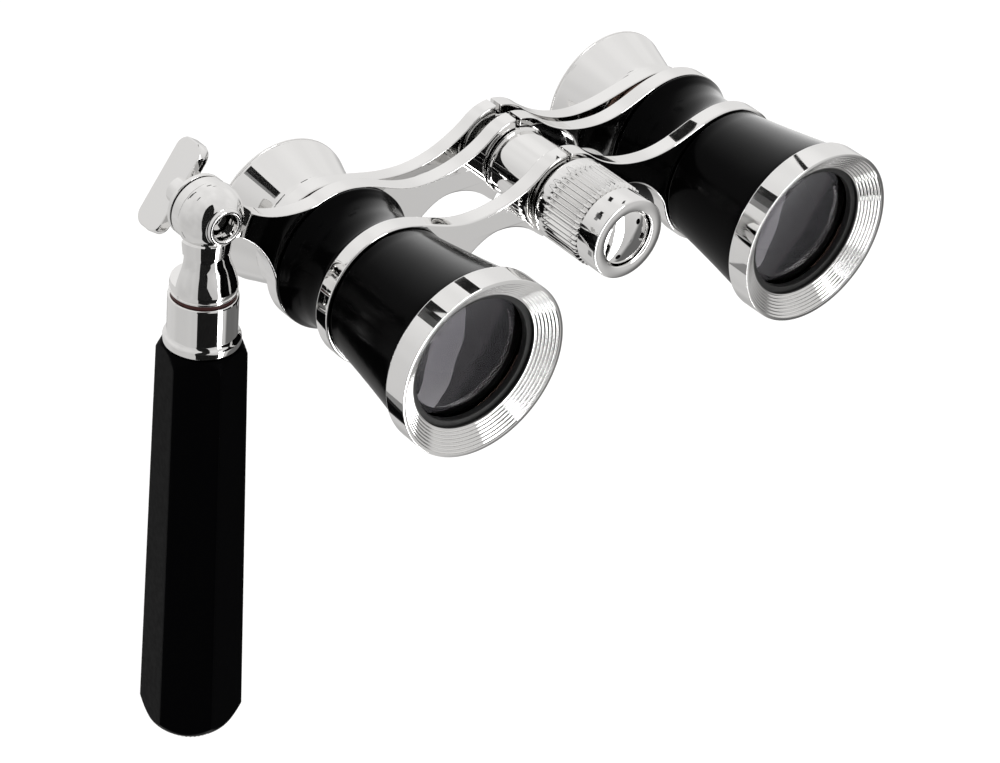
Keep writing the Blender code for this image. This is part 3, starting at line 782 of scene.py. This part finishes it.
def handle():
    """The head, the washer and ferrule under it, and the grip with its cap."""
    handle_head()
    fibre = rounded([
        (ROD_BORE_R, -15.05), (5.5, -15.05, 0.1), (5.5, -14.5, 0.1), (ROD_BORE_R, -14.5),
    ])
    turned("neck_washer", fibre, GRIP, "Z")
    ferrule = rounded([
        (2.3, -15.1), (5.8, -15.1, 0.15), (5.95, -15.35, 0.15), (5.95, -22.2, 0.1),
        (6.15, -22.55, 0.3), (6.6, -23.0, 0.4), (6.6, -24.3, 0.3), (2.3, -24.3),
    ])
    turned("grip_ferrule", ferrule, GRIP, "Z")
    finish_piece(add_object("grip_six_sided", grip_mesh(), GRIP), "grip")
    finish_piece(add_object("grip_end_cap_knurled", end_cap_mesh(), GRIP), "grip_end_cap")


def clamp():
    """Thumb screw with its flat wing and flared neck, and the washer under it."""
    start = REAR_PLATE[1] + GAP - PIVOT.y
    end = start + 0.9
    washer = rounded([
        (SCREW_BORE_R, start), (LUG_R, start, 0.12), (LUG_R, end, 0.25), (SCREW_BORE_R, end),
    ])
    turned("clamp_washer", washer, CLAMP)
    seat, shank_r = start + 1.2, 1.8
    shank = corners((0, -3.0), (1.5, -3.0), (shank_r, -2.7), (shank_r, seat))
    shank += rounded([(shank_r, seat), (4.4, seat, 0.2), (4.4, seat + 0.5, 0.2)])[1:]
    shank += flowing([(3.5, seat + 1.1), (2.9, seat + 2.0), (2.6, seat + 3.2), (2.4, seat + 4.8)])
    shank += corners((0, seat + 4.8))
    obj = add_object("clamp_screw_turned", lathe_mesh(shank, turns=72), CLAMP)
    half_long, half_wide, corner, half_thick, edge = 8.3, 3.15, 2.2, 1.1, 0.25
    outline = []
    for sx, sz, begin in ((1, 1, 0), (-1, 1, 90), (-1, -1, 180), (1, -1, 270)):
        centre = (sx * (half_long - corner), sz * (half_wide - corner))
        outline += arc(centre, corner, begin, begin + 90, 14)
    bm = bmesh.new()
    rings = []
    low_edge = ((-half_thick, edge), (-half_thick + edge * 0.3, edge * 0.3), (-half_thick + edge, 0))
    high_edge = [(-y, inset) for y, inset in reversed(low_edge)]
    for y, inset in (*low_edge, *high_edge):
        shares = ((half_long - inset) / half_long, (half_wide - inset) / half_wide)
        rings.append([bm.verts.new((x * shares[0], y, z * shares[1])) for x, z in outline])
    join_rings(bm, rings, capped=True)
    turn = Matrix.Rotation(-radians(54.6), 4, "Y") @ Matrix.Rotation(pi / 2, 4, "X")
    carve(obj, bm, CLAMP @ Matrix.Translation((0, 10.2, 0)) @ turn, "UNION")
    finish_piece(obj, "clamp_screw")


# ---------------------------------------------------------------- studio
def camera():
    """The viewpoint: up and to the handle's side, with a slight roll."""
    azimuth, elevation, roll = radians(-41.09), radians(35.01), radians(4.77)
    distance, shift_x, shift_z = 491.3, -26.43, -13.49
    back = Vector((
        sin(azimuth) * cos(elevation), -cos(azimuth) * cos(elevation), sin(elevation),
    ))
    right = Vector((cos(azimuth), sin(azimuth), 0))
    up = back.cross(right)
    across = cos(roll) * right + sin(roll) * up
    upward = cos(roll) * up - sin(roll) * right
    place = Matrix((across, upward, back)).transposed().to_4x4()
    offset = back * distance + across * shift_x + upward * shift_z
    place.translation = glasses_origin + offset * MM
    data = bpy.data.cameras.new("camera")
    data.sensor_width = 36
    data.lens = 105.1
    data.clip_start = 0.01
    obj = bpy.data.objects.new("camera", data)
    bpy.context.collection.objects.link(obj)
    obj.matrix_world = place
    bpy.context.scene.camera = obj


def direction(azimuth_deg, elevation_deg):
    """Unit vector from the glasses: azimuth 0 is in front of them, and 90 on their +X side."""
    a, e = radians(azimuth_deg), radians(elevation_deg)
    return Vector((sin(a) * cos(e), -cos(a) * cos(e), sin(e)))


def reflected_card(name, points, faces, material):
    """A card round the glasses that shows only in their gloss, as a studio's flags do."""
    mesh = bpy.data.meshes.new(name)
    mesh.from_pydata(points, [], faces)
    mesh.materials.append(material)
    obj = bpy.data.objects.new(name, mesh)
    bpy.context.collection.objects.link(obj)
    obj.visible_camera = False
    obj.visible_diffuse = False
    obj.visible_shadow = False
    obj.visible_transmission = False


def curved_card(name, rows, distance, material, columns=10, centre=glasses_origin):
    """Its rows are (elevation, first azimuth, last azimuth), seen from its centre."""
    points = []
    for elevation, first, last in rows:
        for k in range(columns + 1):
            azimuth = first + (last - first) * k / columns
            points.append(centre + direction(azimuth, elevation) * distance)
    faces = []
    for row in range(len(rows) - 1):
        for k in range(columns):
            a = row * (columns + 1) + k
            faces.append((a, a + 1, a + columns + 2, a + columns + 1))
    reflected_card(name, points, faces, material)


def plain_material(name, colour, roughness=1.0, emission=0.0):
    """For the studio's cards and paper only."""
    material = bpy.data.materials.new(name)
    material.use_nodes = True
    shader = material.node_tree.nodes["Principled BSDF"]
    shader.inputs["Base Color"].default_value = (*colour, 1)
    shader.inputs["Roughness"].default_value = roughness
    shader.inputs["Emission Color"].default_value = (*colour, 1)
    shader.inputs["Emission Strength"].default_value = emission
    return material


def band_flag(name, place, rows, material, columns=4, reach=300.0):
    """A card that the viewpoint sees mirrored in a turned band.

    Its rows are (place along the axis, band's radius, first angle, last angle), on the band.
    """
    viewpoint = bpy.context.scene.camera.matrix_world.translation
    flare = (rows[-1][1] - rows[0][1]) / (rows[-1][0] - rows[0][0])
    points = []
    for along, radius, first, last in rows:
        for k in range(columns + 1):
            angle = radians(first + (last - first) * k / columns)
            normal = Vector((cos(angle), -flare, sin(angle))).normalized()
            at = place @ Vector((radius * cos(angle), along, radius * sin(angle)))
            view = (viewpoint - at).normalized()
            points.append(at + (2 * normal.dot(view) * normal - view) * reach * MM)
    faces = [(k, k + 1, k + columns + 2, k + columns + 1) for k in range(columns)]
    reflected_card(name, points, faces, material)


def tent():
    """Soft light from all round: brightest above on the right, dim low down on the right."""
    world = bpy.data.worlds.new("soft_tent")
    bpy.context.scene.world = world
    world.use_nodes = True
    nodes, links = world.node_tree.nodes, world.node_tree.links
    background = nodes["Background"]
    background.inputs["Color"].default_value = (1.0, 0.992, 0.985, 1)
    toward = nodes.new("ShaderNodeTexCoord").outputs["Generated"]

    def level(value, start, end, low, high, smooth=True):
        spread = nodes.new("ShaderNodeMapRange")
        spread.interpolation_type = "SMOOTHSTEP" if smooth else "LINEAR"
        spread.inputs["From Min"].default_value = start
        spread.inputs["From Max"].default_value = end
        spread.inputs["To Min"].default_value = low
        spread.inputs["To Max"].default_value = high
        links.new(value, spread.inputs["Value"])
        return spread.outputs["Result"]

    def facing(x, y, z):
        dot = nodes.new("ShaderNodeVectorMath")
        dot.operation = "DOT_PRODUCT"
        dot.inputs[1].default_value = (x, y, z)
        links.new(toward, dot.inputs[0])
        return dot.outputs["Value"]

    cloth = nodes.new("ShaderNodeTexNoise")
    cloth.inputs["Scale"].default_value = 2.0
    cloth.inputs["Detail"].default_value = 1.0
    links.new(toward, cloth.inputs["Vector"])
    levels = [
        level(facing(0.45, 0.45, 0.77), -0.5, 1.0, 0.62, 0.92, smooth=False),
        level(facing(0.5, 0.62, -0.605), 0.86, 0.985, 1.0, 0.65),
        level(facing(0.816, -0.071, -0.574), 0.8, 0.88, 1.0, 0.22),
        level(cloth.outputs["Fac"], 0.3, 0.7, 0.95, 1.05),
    ]
    total = levels[0]
    for factor in levels[1:]:
        product = nodes.new("ShaderNodeMath")
        product.operation = "MULTIPLY"
        links.new(total, product.inputs[0])
        links.new(factor, product.inputs[1])
        total = product.outputs["Value"]
    links.new(total, background.inputs["Strength"])


def area_light(name, toward, distance, size, energy):
    """A rectangular lamp that faces the glasses from that direction and distance."""
    light = bpy.data.lights.new(name, "AREA")
    light.shape = "RECTANGLE"
    light.size, light.size_y = size
    light.energy = energy
    obj = bpy.data.objects.new(name, light)
    bpy.context.collection.objects.link(obj)
    obj.location = glasses_origin + toward * distance
    obj.rotation_euler = toward.to_track_quat("Z", "Y").to_euler()
    return obj


def lacquer_light():
    """A large soft light, strongest in its middle, which is kept for the black lacquer."""
    obj = area_light("lacquer_softbox", direction(143, 19), 0.8, (2.1, 2.1), 73)
    light = obj.data
    light.use_nodes = True
    nodes, links = light.node_tree.nodes, light.node_tree.links
    centred = nodes.new("ShaderNodeVectorMath")
    centred.operation = "DISTANCE"
    centred.inputs[1].default_value = (0.5, 0.5, 0.0)
    links.new(nodes.new("ShaderNodeNewGeometry").outputs["Parametric"], centred.inputs[0])
    fade = nodes.new("ShaderNodeMapRange")
    fade.inputs["From Min"].default_value = 0.0
    fade.inputs["From Max"].default_value = 0.5
    fade.inputs["To Min"].default_value = 1.0
    fade.inputs["To Max"].default_value = 0.0
    links.new(centred.outputs["Value"], fade.inputs["Value"])
    curve = nodes.new("ShaderNodeMath")
    curve.operation = "POWER"
    curve.inputs[1].default_value = 1.5
    links.new(fade.outputs["Result"], curve.inputs[0])
    links.new(curve.outputs["Value"], nodes["Emission"].inputs["Strength"])
    lacquered = bpy.data.collections.new("lacquered")
    for piece in bpy.context.scene.objects:
        if piece.type == "MESH" and LOOKS["black_lacquer"] in piece.data.materials[:]:
            lacquered.objects.link(piece)
    obj.light_linking.receiver_collection = lacquered


def studio():
    tent()
    black = plain_material("black_card", (0.004, 0.004, 0.004))
    dark = plain_material("dark_grey_card", (0.035, 0.035, 0.035), emission=1.0)
    grey = plain_material("grey_card", (0.11, 0.11, 0.11), emission=1.0)
    bright = plain_material("strip_light", (1.0, 1.0, 1.0), emission=5.0)
    card_distance, lens_card_distance, ring_r = 0.9, 0.14, 7.45
    curved_card("front_gap", [
        (-85, -70, 15), (-60, -68, 12), (-33, -57, 10), (-18, -57, -10), (4, -57, -28),
        (25, -55, -20), (43, -50, -12), (56, -35, -12), (60, -20, -14),
    ], card_distance, black)
    curved_card("strip_light", [
        (-60, 16, 30), (-33, 14, 27), (-10, 12, 27), (30, 10, 24),
    ], card_distance, bright)
    lens_centre = BARREL["left"] @ Vector((0, 3, 0))
    curved_card("lens_light", [
        (-62, 4, 18), (-33, 4, 17), (0, 4, 18),
    ], lens_card_distance, bright, centre=lens_centre)

    def on_bezel(side, name, material, near, far=None):
        """Its angles at the bezel's front edge, and at its rear edge if they differ."""
        rows = [(y, BEZEL_R, *angles) for y, angles in ((-2.5, near), (8.0, far or near))]
        band_flag(f"{side}_bezel_{name}", BARREL[side], rows, material)

    on_bezel("left", "narrow_flag", black, (97, 104))
    on_bezel("left", "wide_flag", black, (125.3, 128.2))
    on_bezel("left", "wide_flag_side", dark, (128.2, 132.5))
    on_bezel("left", "low_flag", grey, (182, 191))
    on_bezel("right", "narrow_flag", black, (107, 110.4), (101.2, 103.2))
    on_bezel("right", "wide_flag", black, (132.5, 137))
    on_bezel("right", "wide_flag_side", dark, (137, 141.5))
    on_bezel("right", "wide_flag_edge", grey, (141.5, 145))
    band_flag("knob_flag", CENTRE, [(y, ring_r, 131.8, 137) for y in (6, 16)], grey)
    cup = [(48.9, 10.85), (57.0, 13.65)]
    band_flag("eyecup_flag", BARREL["left"], [(*p, 121.3, 126.6) for p in cup], black)
    band_flag("eyecup_flag_side", BARREL["left"], [(*p, 126.6, 128.8) for p in cup], grey)

    overhead = area_light("overhead_softbox", direction(100, 62), 1.1, (1.2, 1.0), 7.0)
    overhead.visible_glossy = False
    lacquer_light()

    bpy.ops.mesh.primitive_plane_add(size=6.0)
    floor = bpy.context.object
    floor.name = "floor"
    floor.location = (0, 0, cad_box[0].z - 0.15)
    floor.data.materials.append(plain_material("pale_paper", (0.96, 0.96, 0.96), 0.8))
    floor.visible_glossy = False
    bpy.context.scene.view_settings.view_transform = "Standard"


def carried_over():
    """CAD nodes that stay, such as the pieces inside, get their finished material."""
    for node, obj in frame["nodes"].items():
        for material_slot in obj.material_slots:
            material_slot.material = LOOKS[SLOT_OF[node]]


plates()
barrels()
eyepieces()
centre_hinge()
focus_knob()
handle()
clamp()
carried_over()
camera()
studio()
